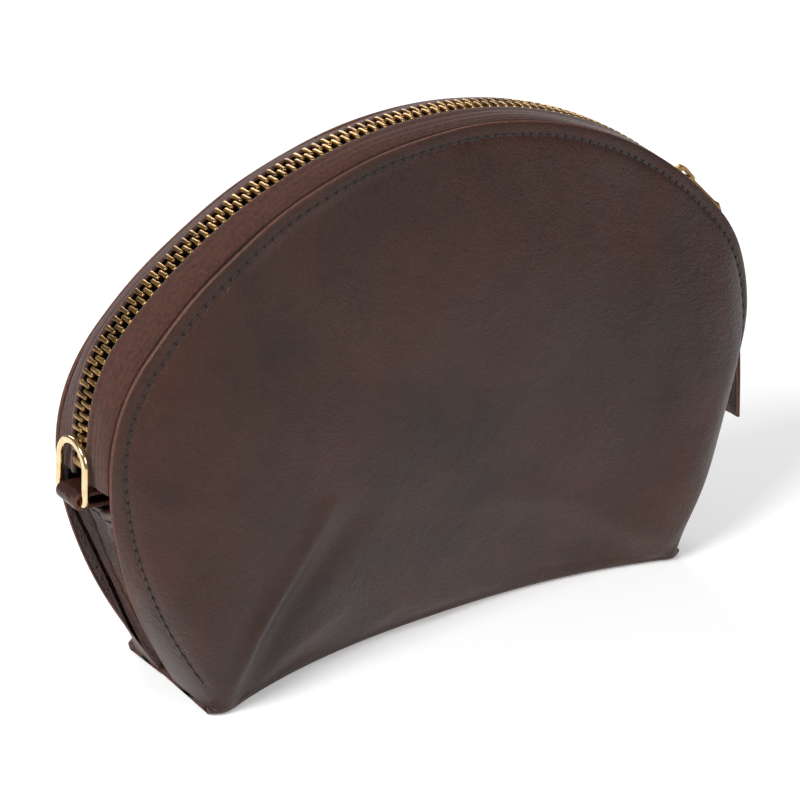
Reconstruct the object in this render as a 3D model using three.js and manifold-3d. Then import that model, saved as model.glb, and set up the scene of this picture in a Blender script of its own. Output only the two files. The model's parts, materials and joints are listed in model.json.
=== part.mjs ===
// Half-moon leather wash bag with a curved brass zip, a strap pull and a D-ring at one end.
// Millimetres. +X runs along the zip towards its closed end, +Y to the back, +Z up.
// The origin is the middle of the base, on the surface that the bag stands on.
import * as THREE from "three";
import { mergeVertices } from "three/addons/utils/BufferGeometryUtils.js";
import Module from "manifold-3d";

const wasm = await Module();
wasm.setup();
const radians = THREE.MathUtils.degToRad;
const { sin, cos, abs, sign, min, max, pow, PI, hypot } = Math;

// Outline of the bag in the XZ plane: a crown arc, two tighter shoulder arcs and two curved sides.
const HALF_WIDTH = 115;
const HEIGHT = 156.8;
const CROWN_RADIUS = 137.5;
const CROWN_HALF_ANGLE = radians(48);
const FOOT_X = 88.8;
const FOOT_Z = 2.4;
const SIDE_PULL = 33.5; // how far below the widest point the sides aim before they turn in
// Half of the bag's depth along its outline, at the top, at the widest points and at the feet.
const TOP_HALF_DEPTH = 11.9;
const WIDEST_HALF_DEPTH = 14.9;
const FOOT_HALF_DEPTH = 4.9;
// The base: its boxed corner tips reach further out than its middle.
const TIP_X = 88.3;
const TIP_HALF_DEPTH = 26.5;
const MIDDLE_HALF_DEPTH = 12.5;
const TIP_POWER = 2.4;
const BASE_ROLL = 2.5;
const BULGE = 11.5;
const SWELL_POWER = 9; // how far towards its ends a panel stays full
const SEAM_OFFSET = 4; // the base seam lies behind the middle line
// Materials
const LEATHER = 1.5;
const LINING = 0.7;
const GAP = 0.3;
const TAPE = 0.6;
const THREAD_RADIUS = 0.3;
// The gusset at each end, folded inwards along its middle
const GUSSET_TOP = 0.17; // how far below the widest point it starts, as a share of the side
const GUSSET_BOTTOM = 0.99;
const GUSSET_FOLD = 9;
const GUSSET_SAG = 3.5;
const GUSSET_THICKNESS = 1.8;
// Stitch rows
const STITCH_INSET = 3.5; // from the panel's edge
const GUSSET_STITCH = 0.03; // below the gusset's top edge, as a share of the side
const THREAD_STANDOFF = THREAD_RADIUS + 0.95;
// Zip tape and chain
const TAPE_OVERRUN = 4.6; // past the shoulder at each end
const FLANGE = 6;
// The chain follows a circle of its own, proud of the panel edges at the open end and sunk at the other.
const CHAIN_RADIUS = 138.65;
const CHAIN_CENTRE_X = -3.18;
const CHAIN_CENTRE_RISE = 0.85; // above the crown's centre
const CHAIN_END_RISE = 0.5;
const TOOTH_PITCH = 3.04;
const TOOTH_LENGTH = 1.5;
const TOOTH_HALF_THICKNESS = 0.95;
const TOOTH_TIP_Y = 0.75;
const BEAD_Y = 2.2;
const BEAD_OUTER_Y = 3.4;
const STOP_HEIGHT = 2;
const BOTTOM_STOP_LENGTH = 2.2;
const TOP_STOP_LENGTH = 1.8;
// Slider: two plates over and under the chain, a web between them and a bridge for the pull
const SLIDER_ANGLE = 45.5; // from the top of the crown, when closed
const SLIDER_LENGTH = 13;
const PLATE_INNER = 1.3;
const PLATE_THICKNESS = 1;
const PLATE_NARROW = 3.4;
const PLATE_WIDE = 4.8;
const BRIDGE_TOP = 5.4;
const BRIDGE_WIDTH = 2.2;
const BRIDGE_HOLE_LOW = 2.5;
const BRIDGE_HOLE_HIGH = 4.6;
const WEB_X = 4.6;
const WEB_LENGTH = 2.5;
const WEB_WIDTH = 0.8;
// Pull: a stamped ring, narrow at the bridge and wide at the strap
const PULL_TILT = 2.5;
const PULL_PIVOT_X = 1;
const PULL_LENGTH = 14;
const PULL_WIRE = 1.4;
const PULL_WIRE_THICKNESS = 1.2;
const PULL_NEAR_HALF = 2.9;
const PULL_FAR_HALF = 6.7;
const PULL_CORNER = 1.6;
// Strap: it hangs from the ring's far bar, over the shoulder and down the end of the bag
const STRAP_WIDTH = 9.6;
const STRAP_THICKNESS = 2;
const STRAP_BAR_HOLE = 1.15;
const STRAP_BEND_X = 121.5;
const STRAP_BEND_Z = 90;
const STRAP_END_X = 126.2;
const STRAP_END_Z = 31.5;
// D-ring and its tab, at the open end
const RING_AXIS_X = -118.6;
const RING_AXIS_Z = 69.5;
const RING_LEAN = 2;
const RING_WIRE = 2.2;
const RING_THICKNESS = 1.9;
const RING_BEVEL = 0.4;
const RING_HALF_WIDTH = 8;
const RING_LEG = 9.6;
const TAB_REACH = 11;
const TAB_DROP = 1.6;
const TAB_BAR_HOLE = 1.6;
const TAB_THICKNESS = 2.4;
const TAB_WIDTH = 10.4;

const crownZ = HEIGHT - CROWN_RADIUS;
const shoulderRadius =
  (HALF_WIDTH - CROWN_RADIUS * sin(CROWN_HALF_ANGLE)) / (1 - sin(CROWN_HALF_ANGLE));
const shoulderX = (CROWN_RADIUS - shoulderRadius) * sin(CROWN_HALF_ANGLE);
const widestZ = crownZ + (CROWN_RADIUS - shoulderRadius) * cos(CROWN_HALF_ANGLE);
const crownLength = CROWN_RADIUS * CROWN_HALF_ANGLE;
const shoulderEnd = crownLength + shoulderRadius * (PI / 2 - CROWN_HALF_ANGLE);
const chainCentreZ = crownZ + CHAIN_CENTRE_RISE;

// One side of the outline below the widest point; q goes from 0 there to 1 at the foot.
function sidePoint(q) {
  const a = (1 - q) * (1 - q);
  const b = 2 * q * (1 - q);
  return {
    x: a * HALF_WIDTH + b * HALF_WIDTH + q * q * FOOT_X,
    z: a * widestZ + b * (widestZ - SIDE_PULL) + q * q * FOOT_Z,
    halfDepth: WIDEST_HALF_DEPTH + q * q * (FOOT_HALF_DEPTH - WIDEST_HALF_DEPTH),
  };
}

let sideLength = 0;
for (let i = 0; i < 40; i++) {
  const a = sidePoint(i / 40);
  const b = sidePoint((i + 1) / 40);
  sideLength += hypot(b.x - a.x, b.z - a.z);
}
const rimLength = shoulderEnd + sideLength;

// The outline at a length s from the apex, positive towards +X, with its outward normal.
function rim(s) {
  const side = sign(s) || 1;
  const length = abs(s);
  if (length <= shoulderEnd) {
    const inCrown = length <= crownLength;
    const turned = (length - crownLength) / shoulderRadius;
    const angle = inCrown ? length / CROWN_RADIUS : CROWN_HALF_ANGLE + turned;
    const radius = inCrown ? CROWN_RADIUS : shoulderRadius;
    const z = (inCrown ? crownZ : widestZ) + radius * cos(angle);
    const rise = (z - widestZ) / (HEIGHT - widestZ);
    return {
      x: side * ((inCrown ? 0 : shoulderX) + radius * sin(angle)),
      z,
      nx: side * sin(angle),
      nz: cos(angle),
      halfDepth: WIDEST_HALF_DEPTH + rise * (TOP_HALF_DEPTH - WIDEST_HALF_DEPTH),
    };
  }
  const q = min(1, (length - shoulderEnd) / sideLength);
  const here = sidePoint(q);
  const ahead = sidePoint(q + 0.01);
  const run = hypot(ahead.x - here.x, ahead.z - here.z);
  return {
    x: side * here.x,
    z: here.z,
    nx: (side * (here.z - ahead.z)) / run,
    nz: (ahead.x - here.x) / run,
    halfDepth: here.halfDepth,
  };
}

function smooth(t) {
  const c = min(1, max(0, t));
  return c * c * (3 - 2 * c);
}

function mix(a, b, t) {
  return a + (b - a) * t;
}

// How far the chain stands above the outline, along the outline's normal.
function chainRise(s) {
  const angle = (sign(s) * min(abs(s), crownLength)) / CROWN_RADIUS;
  const along = CHAIN_CENTRE_X * sin(angle) + CHAIN_CENTRE_RISE * cos(angle);
  const across = CHAIN_CENTRE_X * cos(angle) - CHAIN_CENTRE_RISE * sin(angle);
  const onCircle = along + Math.sqrt(CHAIN_RADIUS * CHAIN_RADIUS - across * across) - CROWN_RADIUS;
  const t = (abs(s) - crownLength) / (shoulderEnd - crownLength);
  return mix(onCircle, CHAIN_END_RISE, smooth(t));
}

// A point of the zip: length s, across y, and a height above the chain's middle.
function onChain(s, y, height) {
  const r = rim(s);
  const out = chainRise(s) + height;
  return new THREE.Vector3(r.x + r.nx * out, y, r.z + r.nz * out);
}

function baseHalfDepth(u) {
  return mix(MIDDLE_HALF_DEPTH, TIP_HALF_DEPTH, pow(abs(u), TIP_POWER));
}

// A panel's outer face: u across from -1 to 1, v from the base's edge to the outline, depth outwards.
function facePoint(u, v) {
  const edge = rim(u * rimLength);
  const roll = BASE_ROLL * (1 - 0.85 * pow(abs(u), 4));
  const swell = BULGE * pow(sin(PI * min(v, 1)), 0.8) * (1 - pow(abs(u), SWELL_POWER));
  return {
    x: mix(TIP_X * u, edge.x, v),
    depth: mix(baseHalfDepth(u), edge.halfDepth, v) + swell,
    z: mix(roll, edge.z, v),
    roll,
  };
}

function signedVolume(position, index) {
  const p = [0, 1, 2].map(() => new THREE.Vector3());
  let volume = 0;
  for (let i = 0; i < index.length; i += 3) {
    p.forEach((v, k) => v.fromBufferAttribute(position, index[i + k]));
    volume += p[0].dot(p[1].clone().cross(p[2]));
  }
  return volume;
}

// A closed solid from quads, turned so that its faces point out.
function solidFromQuads(points, quads) {
  const position = new THREE.Float32BufferAttribute(
    points.flatMap((p) => [p.x, p.y, p.z]),
    3,
  );
  let index = quads.flatMap(([a, b, c, d]) => [a, b, c, a, c, d]);
  if (signedVolume(position, index) < 0) index = index.reverse();
  const geometry = new THREE.BufferGeometry();
  geometry.setAttribute("position", position);
  geometry.setIndex(index);
  geometry.computeVertexNormals();
  return geometry;
}

// A sheet between two grids of points, closed all round its edge.
function sheet(outer, inner) {
  const rows = outer.length;
  const columns = outer[0].length;
  const points = [...outer.flat(), ...inner.flat()];
  const half = rows * columns;
  const at = (r, c, layer = 0) => layer * half + r * columns + c;
  const quads = [];
  for (let r = 0; r + 1 < rows; r++)
    for (let c = 0; c + 1 < columns; c++) {
      quads.push([at(r, c), at(r, c + 1), at(r + 1, c + 1), at(r + 1, c)]);
      quads.push([at(r, c, 1), at(r + 1, c, 1), at(r + 1, c + 1, 1), at(r, c + 1, 1)]);
    }
  for (let c = 0; c + 1 < columns; c++) {
    const last = rows - 1;
    quads.push([at(0, c), at(0, c, 1), at(0, c + 1, 1), at(0, c + 1)]);
    quads.push([at(last, c), at(last, c + 1), at(last, c + 1, 1), at(last, c, 1)]);
  }
  for (let r = 0; r + 1 < rows; r++) {
    const last = columns - 1;
    quads.push([at(r, 0), at(r + 1, 0), at(r + 1, 0, 1), at(r, 0, 1)]);
    quads.push([at(r, last), at(r, last, 1), at(r + 1, last, 1), at(r + 1, last)]);
  }
  return solidFromQuads(points, quads);
}

function range(from, to, steps) {
  return Array.from({ length: steps + 1 }, (_, i) => mix(from, to, i / steps));
}

// The panels and linings share these shares across and up the face.
const ACROSS = range(-1, 1, 26);
const UP = [0.07, 0.16, ...range(0.28, 1, 7)];

// A body panel wraps from the outline down the face, round the base's edge and under.
// side is -1 for the front and 1 for the back; reach is where its base flap ends, outwards of y 0.
function panelGeometry(side, reach) {
  const outer = [];
  const inner = [];
  for (const u of ACROSS) {
    const foot = facePoint(u, 0);
    const bed = foot.depth - foot.roll;
    const inwards = -sign(u) * LEATHER * smooth((abs(u) - 0.85) / 0.15);
    const column = [];
    const backs = [];
    const add = (x, depth, z, dDepth, dz) => {
      column.push(new THREE.Vector3(x, side * depth, z));
      backs.push(new THREE.Vector3(x + inwards, side * (depth - dDepth), z + dz));
    };
    for (const depth of range(reach, bed, 3)) add(foot.x, depth, 0, 0, LEATHER);
    const corner = radians(45);
    add(
      foot.x,
      bed + foot.roll * sin(corner),
      foot.roll * (1 - cos(corner)),
      LEATHER * sin(corner),
      LEATHER * cos(corner),
    );
    for (const v of [0, ...UP]) {
      const p = facePoint(u, v);
      add(p.x, p.depth, p.z, LEATHER, 0);
    }
    outer.push(column);
    inner.push(backs);
  }
  return sheet(outer, inner);
}

// The lining hangs inside its panel, from below the zip's flange to the middle of the base.
function liningGeometry(side) {
  const outer = [];
  const inner = [];
  const inset = LEATHER + GAP;
  for (const u of ACROSS.slice(2, -2)) {
    const foot = facePoint(u, 0);
    const bed = foot.depth - foot.roll - 1;
    const column = [];
    const backs = [];
    const add = (x, depth, z, dDepth, dz) => {
      column.push(new THREE.Vector3(x, side * depth, z));
      backs.push(new THREE.Vector3(x, side * (depth - dDepth), z + dz));
    };
    for (const depth of range(GAP, bed - LINING, 2)) add(foot.x, depth, inset, 0, LINING);
    add(foot.x, bed, inset + 0.4, LINING, LINING);
    for (const v of UP.slice(0, -1)) {
      const p = facePoint(u, v);
      add(p.x, p.depth - inset, p.z, LINING, 0);
    }
    outer.push(column);
    inner.push(backs);
  }
  return sheet(outer, inner);
}

// A point of the gusset between the two panels at one end; across runs from -1 to 1.
function gussetPoint(side, down, across) {
  const p = rim(shoulderEnd + down * sideLength);
  const halfDepth = p.halfDepth - LEATHER - GAP;
  const fold = GUSSET_FOLD * mix(0.55, 1, sin(PI * min(1, down * 1.1))) * (1 - 0.55 * down);
  const dip = 1 - pow(abs(across), 1.4);
  const sag = GUSSET_SAG * (1 - across * across) * (1 - down);
  return new THREE.Vector3(side * (p.x - fold * dip), halfDepth * across, p.z - sag);
}

function gussetGeometry(side) {
  const outer = [];
  const inner = [];
  for (const down of range(GUSSET_TOP, GUSSET_BOTTOM, 10)) {
    const row = range(-1, 1, 8).map((across) => gussetPoint(side, down, across));
    outer.push(row);
    inner.push(row.map((p) => p.clone().setX(p.x - side * GUSSET_THICKNESS)));
  }
  return sheet(outer, inner);
}

// One half of the zip's tape, from the chain down to its flange behind the panel's edge.
const TAPE_END = shoulderEnd + TAPE_OVERRUN;
const TAPE_INNER_Y = BEAD_OUTER_Y + GAP;

function tapeGeometry(side) {
  const outer = [];
  const inner = [];
  for (const s of range(-TAPE_END, TAPE_END, 54)) {
    const r = rim(s);
    const flangeY = r.halfDepth - LEATHER - GAP;
    const drop = chainRise(s);
    const column = [
      [TAPE_INNER_Y, TAPE / 2],
      [flangeY - TAPE, -drop],
      [flangeY, -drop - 0.8],
      [flangeY, -drop - FLANGE],
    ];
    const backs = [
      [TAPE_INNER_Y, -TAPE / 2],
      [flangeY - TAPE - 0.4, -drop - TAPE],
      [flangeY - TAPE, -drop - 1.2],
      [flangeY - TAPE, -drop - FLANGE],
    ];
    outer.push(column.map(([y, h]) => onChain(s, side * y, h)));
    inner.push(backs.map(([y, h]) => onChain(s, side * y, h)));
  }
  return sheet(outer, inner);
}

// A row of teeth on its bead; the rows stand half a pitch apart.
const ROW_START = -shoulderEnd + 2;
const ROW_END = CROWN_RADIUS * radians(SLIDER_ANGLE) + 1.5;

function teethGeometry(side, shift) {
  const points = [];
  const quads = [];
  const cuts = [];
  for (let s = ROW_START + shift; s + TOOTH_PITCH < ROW_END; s += TOOTH_PITCH)
    cuts.push([s, true], [s + TOOTH_LENGTH, false]);
  const levels = [BEAD_OUTER_Y, BEAD_Y, TOOTH_TIP_Y];
  for (const [s] of cuts)
    for (const height of [TOOTH_HALF_THICKNESS, -TOOTH_HALF_THICKNESS])
      for (const y of levels) points.push(onChain(s, side * y, height));
  const at = (cut, low, level) => cut * 6 + low * 3 + level;
  for (let c = 0; c + 1 < cuts.length; c++) {
    const tooth = cuts[c][1];
    const deepest = tooth ? 2 : 1;
    const before = c > 0 && cuts[c - 1][1] ? 2 : 1;
    const next = c + 1;
    for (let level = 0; level < deepest; level++) {
      quads.push([at(c, 0, level), at(next, 0, level), at(next, 0, level + 1), at(c, 0, level + 1)]);
      quads.push([at(c, 1, level), at(c, 1, level + 1), at(next, 1, level + 1), at(next, 1, level)]);
    }
    quads.push([at(c, 0, 0), at(c, 1, 0), at(next, 1, 0), at(next, 0, 0)]);
    quads.push([at(c, 0, deepest), at(next, 0, deepest), at(next, 1, deepest), at(c, 1, deepest)]);
    if (c === 0) quads.push([at(0, 0, 0), at(0, 0, 1), at(0, 1, 1), at(0, 1, 0)]);
    if (deepest > before || (c === 0 && tooth))
      quads.push([at(c, 0, 1), at(c, 0, 2), at(c, 1, 2), at(c, 1, 1)]);
    if (deepest < before) quads.push([at(c, 0, 1), at(c, 1, 1), at(c, 1, 2), at(c, 0, 2)]);
  }
  const last = cuts.length - 1;
  quads.push([at(last, 0, 0), at(last, 1, 0), at(last, 1, 1), at(last, 0, 1)]);
  if (cuts[last - 1][1]) quads.push([at(last, 0, 1), at(last, 1, 1), at(last, 1, 2), at(last, 0, 2)]);
  return solidFromQuads(points, quads);
}

// Booleans
function toSolid(geometry) {
  const plain = geometry.index ? geometry.toNonIndexed() : geometry.clone();
  plain.deleteAttribute("normal");
  plain.deleteAttribute("uv");
  const merged = mergeVertices(plain, 1e-4);
  return new wasm.Manifold(
    new wasm.Mesh({
      numProp: 3,
      vertProperties: merged.attributes.position.array,
      triVerts: new Uint32Array(merged.index.array),
    }),
  );
}

function toGeometry(solid) {
  const mesh = solid.getMesh();
  const geometry = new THREE.BufferGeometry();
  geometry.setAttribute("position", new THREE.Float32BufferAttribute(mesh.vertProperties, 3));
  geometry.setIndex(new THREE.Uint32BufferAttribute(mesh.triVerts, 1));
  geometry.computeVertexNormals();
  return geometry;
}

// A profile in the XZ plane, made width wide along Y and centred on y 0.
function acrossY(shape, width, segments = 8) {
  const geometry = new THREE.ExtrudeGeometry(shape, {
    depth: width,
    bevelEnabled: false,
    curveSegments: segments,
  });
  return geometry.rotateX(PI / 2).translate(0, width / 2, 0);
}

function box(length, width, height) {
  return new THREE.BoxGeometry(length, width, height);
}

// The slider's plate, seen from above: X along the chain, Y across it.
function plateShape() {
  const shape = new THREE.Shape();
  const half = SLIDER_LENGTH / 2;
  const shoulder = half - 3;
  const nose = PLATE_WIDE / 2;
  shape.moveTo(-half, -PLATE_NARROW);
  shape.lineTo(shoulder, -PLATE_WIDE);
  shape.quadraticCurveTo(half, -PLATE_WIDE, half, -nose);
  shape.lineTo(half, nose);
  shape.quadraticCurveTo(half, PLATE_WIDE, shoulder, PLATE_WIDE);
  shape.lineTo(-half, PLATE_NARROW);
  return shape;
}

// The bridge, seen from the side: X along the chain, Y away from the bag.
function bridgeShape() {
  const foot = PLATE_INNER + PLATE_THICKNESS / 2;
  const bridge = new THREE.Shape();
  bridge.moveTo(4.8, foot);
  bridge.quadraticCurveTo(4.8, BRIDGE_TOP, 2.6, BRIDGE_TOP);
  bridge.lineTo(-2.2, BRIDGE_TOP);
  bridge.quadraticCurveTo(-4.6, BRIDGE_TOP, -4.6, foot);
  const hole = new THREE.Path();
  hole.moveTo(-2.8, BRIDGE_HOLE_LOW);
  hole.lineTo(-2.4, BRIDGE_HOLE_HIGH);
  hole.lineTo(2.8, BRIDGE_HOLE_HIGH);
  hole.lineTo(3.4, BRIDGE_HOLE_LOW);
  bridge.holes.push(hole);
  return bridge;
}

// In its own frame: X along the chain, Z away from the bag, origin in the chain's middle.
function sliderGeometry() {
  const plate = new THREE.ExtrudeGeometry(plateShape(), {
    depth: PLATE_THICKNESS,
    bevelEnabled: false,
    curveSegments: 4,
  });
  const parts = [
    plate.clone().translate(0, 0, PLATE_INNER),
    plate.clone().translate(0, 0, -PLATE_INNER - PLATE_THICKNESS),
    box(WEB_LENGTH, WEB_WIDTH, 2 * PLATE_INNER + PLATE_THICKNESS).translate(WEB_X, 0, 0),
    acrossY(bridgeShape(), BRIDGE_WIDTH, 5),
  ];
  return toGeometry(parts.map(toSolid).reduce((a, b) => a.add(b)));
}

// The pull ring's outline with X along it, moved inwards by shrink.
function pullOutline(shrink) {
  const near = -PULL_WIRE / 2 + shrink;
  const far = PULL_LENGTH + PULL_WIRE / 2 - shrink;
  const slim = PULL_NEAR_HALF - shrink;
  const wide = PULL_FAR_HALF - shrink;
  const path = new THREE.Path();
  path.moveTo(near + PULL_CORNER, -slim - 0.2);
  path.lineTo(far - PULL_CORNER, -wide);
  path.quadraticCurveTo(far, -wide, far, -wide + PULL_CORNER);
  path.lineTo(far, wide - PULL_CORNER);
  path.quadraticCurveTo(far, wide, far - PULL_CORNER, wide);
  path.lineTo(near + PULL_CORNER, slim + 0.2);
  path.quadraticCurveTo(near, slim, near, slim - 1);
  path.lineTo(near, -slim + 1);
  path.quadraticCurveTo(near, -slim, near + PULL_CORNER, -slim - 0.2);
  return path.getPoints(4);
}

function pullGeometry() {
  const shape = new THREE.Shape(pullOutline(0));
  shape.holes.push(new THREE.Path(pullOutline(PULL_WIRE)));
  const depth = PULL_WIRE_THICKNESS;
  return new THREE.ExtrudeGeometry(shape, { depth, bevelEnabled: false }).translate(0, 0, -depth / 2);
}

// The strap and the D-ring's tab are folded round a bar: an eye, and a slab along a path.
function foldedStrap(path, barHole, thickness, width) {
  const start = path.getPoint(0);
  const disc = new THREE.Shape().absarc(start.x, start.y, barHole + thickness / 2, 0, 2 * PI);
  const hole = new THREE.Shape().absarc(start.x, start.y, barHole, 0, 2 * PI);
  const samples = range(0, 1, 12).map((t) => {
    const p = path.getPoint(t);
    const along = path.getTangent(t);
    return { p, n: new THREE.Vector2(-along.y, along.x).multiplyScalar(thickness / 2) };
  });
  const slab = new THREE.Shape([
    ...samples.map(({ p, n }) => p.clone().add(n)),
    ...samples.reverse().map(({ p, n }) => p.clone().sub(n)),
  ]);
  const joined = toSolid(acrossY(slab, width)).add(toSolid(acrossY(disc, width, 10)));
  return toGeometry(joined.subtract(toSolid(acrossY(hole, width + 2, 10))));
}

// D-ring, in the YZ plane with its bar's middle at the origin, standing up.
function ringGeometry() {
  const outline = (half, low) => {
    const path = new THREE.Path();
    path.moveTo(-half, low);
    path.lineTo(half, low);
    path.lineTo(half, RING_LEG);
    path.absarc(0, RING_LEG, half, 0, PI);
    path.closePath();
    return path.getPoints(10);
  };
  const shape = new THREE.Shape(outline(RING_HALF_WIDTH, -RING_WIRE / 2));
  shape.holes.push(new THREE.Path(outline(RING_HALF_WIDTH - RING_WIRE, RING_WIRE / 2)));
  const geometry = new THREE.ExtrudeGeometry(shape, {
    depth: RING_THICKNESS - 2 * RING_BEVEL,
    bevelThickness: RING_BEVEL,
    bevelSize: RING_BEVEL,
    bevelOffset: -RING_BEVEL,
    bevelSegments: 1,
  });
  geometry.translate(0, 0, -RING_THICKNESS / 2 + RING_BEVEL);
  return geometry.rotateX(PI / 2).rotateZ(PI / 2);
}

function threadGeometry(points, steps) {
  const section = new THREE.Shape().absarc(0, 0, THREAD_RADIUS, 0, 2 * PI);
  return new THREE.ExtrudeGeometry(section, {
    steps,
    curveSegments: 4,
    extrudePath: new THREE.CatmullRomCurve3(points, false, "centripetal"),
    bevelEnabled: false,
  });
}

// The stitch row runs a little inside the panel's edge, on its outer face.
function panelThread(side) {
  const points = range(-0.93, 0.93, 60).map((u) => {
    const foot = facePoint(u, 0);
    const edge = rim(u * rimLength);
    const v = 1 - STITCH_INSET / hypot(edge.x - foot.x, edge.z - foot.z);
    const p = facePoint(u, v);
    return new THREE.Vector3(p.x, side * (p.depth + THREAD_STANDOFF), p.z);
  });
  return threadGeometry(points, 64);
}

function gussetThread(side) {
  const points = range(-0.86, 0.86, 8).map((across) => {
    const p = gussetPoint(side, GUSSET_TOP + GUSSET_STITCH, across);
    return p.setX(p.x + side * THREAD_STANDOFF * 1.3);
  });
  return threadGeometry(points, 12);
}

// Assembly
function material(color, roughness, metalness = 0) {
  return new THREE.MeshStandardMaterial({ color, roughness, metalness });
}

const leather = material(0x3f2b22, 0.5);
const edgeLeather = material(0x4d3026, 0.55);
const cloth = material(0x2e2622, 0.9);
const tapeCloth = material(0x3a211d, 0.85);
const brass = material(0x8a6a38, 0.35, 1);
const gold = material(0xd8c08a, 0.2, 1);
const thread = material(0x17110f, 0.8);

const bag = new THREE.Group();

function put(parent, name, geometry, finish) {
  const mesh = new THREE.Mesh(geometry, finish);
  mesh.name = name;
  parent.add(mesh);
  return mesh;
}

for (const [name, side, reach, shift] of [
  ["front", -1, -SEAM_OFFSET, 0],
  ["back", 1, SEAM_OFFSET + GAP, TOOTH_PITCH / 2],
]) {
  put(bag, name + "_panel", panelGeometry(side, reach), leather);
  put(bag, name + "_lining", liningGeometry(side), cloth);
  put(bag, "zip_tape_" + name, tapeGeometry(side), tapeCloth);
  put(bag, "zip_teeth_" + name, teethGeometry(side, shift), brass);
  put(bag, name + "_seam_thread", panelThread(side), thread);
}
for (const [name, side] of [
  ["left", -1],
  ["right", 1],
]) {
  put(bag, name + "_gusset", gussetGeometry(side), edgeLeather);
  put(bag, name + "_gusset_thread", gussetThread(side), thread);
}

// Zip stops: one across both rows at the open end, one on each row at the closed end.
const bottomStopAt = ROW_START - GAP - BOTTOM_STOP_LENGTH / 2;
const stopAngle = -(CROWN_HALF_ANGLE + (abs(bottomStopAt) - crownLength) / shoulderRadius);
const bottomStopBlock = box(BOTTOM_STOP_LENGTH, 2 * BEAD_OUTER_Y, STOP_HEIGHT);
const bottomStop = put(bag, "zip_bottom_stop", bottomStopBlock, brass);
bottomStop.position.copy(onChain(bottomStopAt, 0, 0));
bottomStop.rotation.y = stopAngle;

// The slider's frame turns about the centre of the chain's circle.
const sliderFrame = new THREE.Group();
sliderFrame.position.set(CHAIN_CENTRE_X, 0, chainCentreZ);
sliderFrame.rotation.y = radians(SLIDER_ANGLE);
bag.add(sliderFrame);
put(sliderFrame, "slider_body", sliderGeometry(), brass).position.z = CHAIN_RADIUS;
const topStopAt = SLIDER_LENGTH / 2 + GAP + TOP_STOP_LENGTH / 2;
for (const [name, side] of [
  ["zip_top_stop_front", -1],
  ["zip_top_stop_back", 1],
]) {
  const block = box(TOP_STOP_LENGTH, BEAD_OUTER_Y - BEAD_Y, STOP_HEIGHT);
  const stop = put(sliderFrame, name, block, brass);
  stop.position.set(topStopAt, (side * (BEAD_OUTER_Y + BEAD_Y)) / 2, CHAIN_RADIUS - 0.15);
}

const pullFrame = new THREE.Group();
const pullPivotZ = CHAIN_RADIUS + (BRIDGE_HOLE_LOW + BRIDGE_HOLE_HIGH) / 2;
pullFrame.position.set(PULL_PIVOT_X, 0, pullPivotZ);
pullFrame.rotation.y = radians(PULL_TILT);
sliderFrame.add(pullFrame);
put(pullFrame, "puller_ring", pullGeometry(), brass);

bag.updateMatrixWorld(true);
const strapBar = pullFrame.localToWorld(new THREE.Vector3(PULL_LENGTH, 0, 0));
const strapPath = new THREE.QuadraticBezierCurve(
  new THREE.Vector2(strapBar.x, strapBar.z),
  new THREE.Vector2(STRAP_BEND_X, STRAP_BEND_Z),
  new THREE.Vector2(STRAP_END_X, STRAP_END_Z),
);
const strap = foldedStrap(strapPath, STRAP_BAR_HOLE, STRAP_THICKNESS, STRAP_WIDTH);
put(bag, "pull_strap", strap, edgeLeather);

const tabPath = new THREE.LineCurve(
  new THREE.Vector2(RING_AXIS_X, RING_AXIS_Z),
  new THREE.Vector2(RING_AXIS_X + TAB_REACH, RING_AXIS_Z - TAB_DROP),
);
const tab = foldedStrap(tabPath, TAB_BAR_HOLE, TAB_THICKNESS, TAB_WIDTH);
put(bag, "d_ring_tab", tab, edgeLeather);
const ring = put(bag, "d_ring", ringGeometry(), gold);
ring.position.set(RING_AXIS_X, 0, RING_AXIS_Z);
ring.rotation.y = radians(RING_LEAN);

export default bag;
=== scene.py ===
"""The looks of a half-moon leather wash bag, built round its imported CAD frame.

Lengths are in millimetres until a mesh is made, which turns them into metres.
+X runs along the zip to its closed end, +Y to the back and +Z up, from the middle of the base.
"""

import json
import math

import bmesh
import bpy
import numpy as np
from mathutils import Matrix, Vector


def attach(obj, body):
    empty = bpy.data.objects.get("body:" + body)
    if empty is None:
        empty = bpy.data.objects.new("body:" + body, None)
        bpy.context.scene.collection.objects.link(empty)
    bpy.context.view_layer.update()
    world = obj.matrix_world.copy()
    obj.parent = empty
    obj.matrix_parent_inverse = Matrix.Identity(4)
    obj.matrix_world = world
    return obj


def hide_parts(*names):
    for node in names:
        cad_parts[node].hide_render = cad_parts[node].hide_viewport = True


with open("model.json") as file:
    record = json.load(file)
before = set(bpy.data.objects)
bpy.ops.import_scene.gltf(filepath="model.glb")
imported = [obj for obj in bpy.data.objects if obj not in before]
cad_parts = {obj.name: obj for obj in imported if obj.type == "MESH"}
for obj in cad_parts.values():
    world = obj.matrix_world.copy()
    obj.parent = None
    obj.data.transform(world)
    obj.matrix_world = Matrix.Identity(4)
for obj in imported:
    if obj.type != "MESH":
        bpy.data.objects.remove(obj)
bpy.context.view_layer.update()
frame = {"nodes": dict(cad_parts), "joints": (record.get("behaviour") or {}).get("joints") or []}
MM = 0.001

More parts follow.
